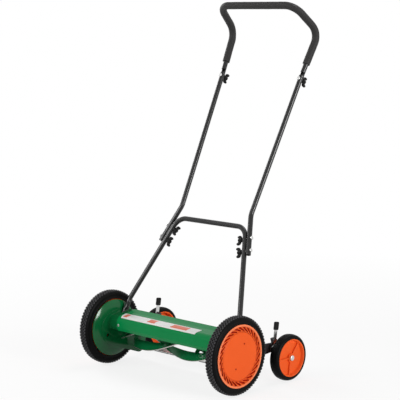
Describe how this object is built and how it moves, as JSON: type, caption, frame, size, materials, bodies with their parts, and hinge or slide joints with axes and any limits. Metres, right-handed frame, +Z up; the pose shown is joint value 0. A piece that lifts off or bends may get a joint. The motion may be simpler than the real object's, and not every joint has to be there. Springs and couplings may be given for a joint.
{
  "type": "reel mower",
  "caption": "Push reel mower: geared front wheels turn a helical blade reel against a bed knife under an arched deck, with small rear height wheels and a tall foam-gripped handle.",
  "frame": {"origin": "on the ground under the middle of the whole mower", "axes": "+Z up, -Y forward, +X to the operator's left"},
  "size_m": [0.641, 0.6538, 1.2231],
  "materials": {
    "green_paint": "gloss",
    "blade_green": "satin",
    "black_paint": "satin",
    "dark_steel": "satin",
    "bright_steel": "brushed",
    "orange_plastic": "satin",
    "tyre_rubber": "matte",
    "black_plastic": "matte",
    "foam": "matte"
  },
  "bodies": {
    "frame": {"deck": "green_paint", "deck_screws": "bright_steel", "bed_knife": "bright_steel", "cutter_bar": "dark_steel", "knife_screws": "bright_steel", "left_side_plate": "green_paint", "left_front_axle": "bright_steel", "left_wheel_clip": "bright_steel", "left_reel_bearing": "dark_steel", "left_handle_stud": "bright_steel", "left_rear_bracket": "dark_steel", "left_pivot_bolt": "bright_steel", "right_side_plate": "green_paint", "right_front_axle": "bright_steel", "right_wheel_clip": "bright_steel", "right_reel_bearing": "dark_steel", "right_handle_stud": "bright_steel", "right_rear_bracket": "dark_steel", "right_pivot_bolt": "bright_steel"},
    "left_drive_wheel": {"left_front_tyre": "tyre_rubber", "left_front_wheel": "orange_plastic", "left_wheel_cap": "orange_plastic"},
    "left_drive_pinion": {"left_pinion": "dark_steel"},
    "left_adjuster": {"left_adjuster_arm": "dark_steel", "left_lever": "bright_steel", "left_lever_tip": "black_plastic", "left_rear_axle": "bright_steel"},
    "left_rear_roller": {"left_rear_tyre": "tyre_rubber", "left_rear_wheel": "orange_plastic"},
    "right_drive_wheel": {"right_front_tyre": "tyre_rubber", "right_front_wheel": "orange_plastic", "right_wheel_cap": "orange_plastic"},
    "right_drive_pinion": {"right_pinion": "dark_steel"},
    "right_adjuster": {"right_adjuster_arm": "dark_steel", "right_lever": "bright_steel", "right_lever_tip": "black_plastic", "right_rear_axle": "bright_steel"},
    "right_rear_roller": {"right_rear_tyre": "tyre_rubber", "right_rear_wheel": "orange_plastic"},
    "reel": {"reel_shaft": "bright_steel", "reel_spiders": "blade_green", "reel_blades": "blade_green"},
    "handle": {"lower_handle": "black_paint", "left_middle_tube": "black_paint", "right_middle_tube": "black_paint", "upper_handle": "black_paint", "grip": "foam", "handle_bolts": "bright_steel"},
    "left_lower_wing": {"left_lower_knob": "black_plastic"},
    "left_upper_wing": {"left_upper_knob": "black_plastic"},
    "left_top_wing": {"left_top_knob": "black_plastic"},
    "right_lower_wing": {"right_lower_knob": "black_plastic"},
    "right_upper_wing": {"right_upper_knob": "black_plastic"},
    "right_top_wing": {"right_top_knob": "black_plastic"}
  },
  "joints": [
    {"name": "left_wheel_spin", "type": "hinge", "parent": "frame", "child": "left_drive_wheel", "pos_m": [0.294, -0.1999, 0.127], "axis": [1, 0, 0], "continuous": true},
    {"name": "right_wheel_spin", "type": "hinge", "parent": "frame", "child": "right_drive_wheel", "pos_m": [-0.294, -0.1999, 0.127], "axis": [1, 0, 0], "continuous": true},
    {"name": "reel_spin", "type": "hinge", "parent": "frame", "child": "reel", "pos_m": [0, -0.13362, 0.11424], "axis": [1, 0, 0], "continuous": true},
    {"name": "left_pinion_spin", "type": "hinge", "parent": "frame", "child": "left_drive_pinion", "pos_m": [0.2877, -0.13362, 0.11424], "axis": [1, 0, 0], "continuous": true},
    {"name": "right_pinion_spin", "type": "hinge", "parent": "frame", "child": "right_drive_pinion", "pos_m": [-0.2877, -0.13362, 0.11424], "axis": [1, 0, 0], "continuous": true},
    {"name": "left_height_adjust", "type": "hinge", "parent": "frame", "child": "left_adjuster", "pos_m": [0.2715, 0.0031, 0.112], "axis": [1, 0, 0], "range_deg": [-20, 20]},
    {"name": "left_rear_spin", "type": "hinge", "parent": "left_adjuster", "child": "left_rear_roller", "pos_m": [0.3, 0.0435, 0.0762], "axis": [1, 0, 0], "continuous": true},
    {"name": "right_height_adjust", "type": "hinge", "parent": "frame", "child": "right_adjuster", "pos_m": [-0.2715, 0.0031, 0.112], "axis": [1, 0, 0], "range_deg": [-20, 20]},
    {"name": "right_rear_spin", "type": "hinge", "parent": "right_adjuster", "child": "right_rear_roller", "pos_m": [-0.3, 0.0435, 0.0762], "axis": [1, 0, 0], "continuous": true},
    {"name": "handle_swing", "type": "hinge", "parent": "frame", "child": "handle", "pos_m": [0, -0.1717, 0.16], "axis": [1, 0, 0], "range_deg": [0, 27]},
    {"name": "left_lower_knob_turn", "type": "hinge", "parent": "handle", "child": "left_lower_wing", "pos_m": [0.18157, -0.03617, 0.42202], "axis": [0.951, 0.142, 0.2745], "continuous": true},
    {"name": "left_upper_knob_turn", "type": "hinge", "parent": "handle", "child": "left_upper_wing", "pos_m": [0.16825, -0.01734, 0.45844], "axis": [0.951, 0.142, 0.2745], "continuous": true},
    {"name": "left_top_knob_turn", "type": "hinge", "parent": "handle", "child": "left_top_wing", "pos_m": [0.179, 0.24546, 0.9665], "axis": [0, 0.8882, -0.4594], "continuous": true},
    {"name": "right_lower_knob_turn", "type": "hinge", "parent": "handle", "child": "right_lower_wing", "pos_m": [-0.18157, -0.03617, 0.42202], "axis": [-0.951, 0.142, 0.2745], "continuous": true},
    {"name": "right_upper_knob_turn", "type": "hinge", "parent": "handle", "child": "right_upper_wing", "pos_m": [-0.16825, -0.01734, 0.45844], "axis": [-0.951, 0.142, 0.2745], "continuous": true},
    {"name": "right_top_knob_turn", "type": "hinge", "parent": "handle", "child": "right_top_wing", "pos_m": [-0.179, 0.24546, 0.9665], "axis": [0, 0.8882, -0.4594], "continuous": true}
  ],
  "couplings": [
    {"joint": "reel_spin", "follows": "left_wheel_spin", "ratio": 5.5},
    {"joint": "left_pinion_spin", "follows": "left_wheel_spin", "ratio": 5.5},
    {"joint": "right_pinion_spin", "follows": "right_wheel_spin", "ratio": 5.5}
  ]
}
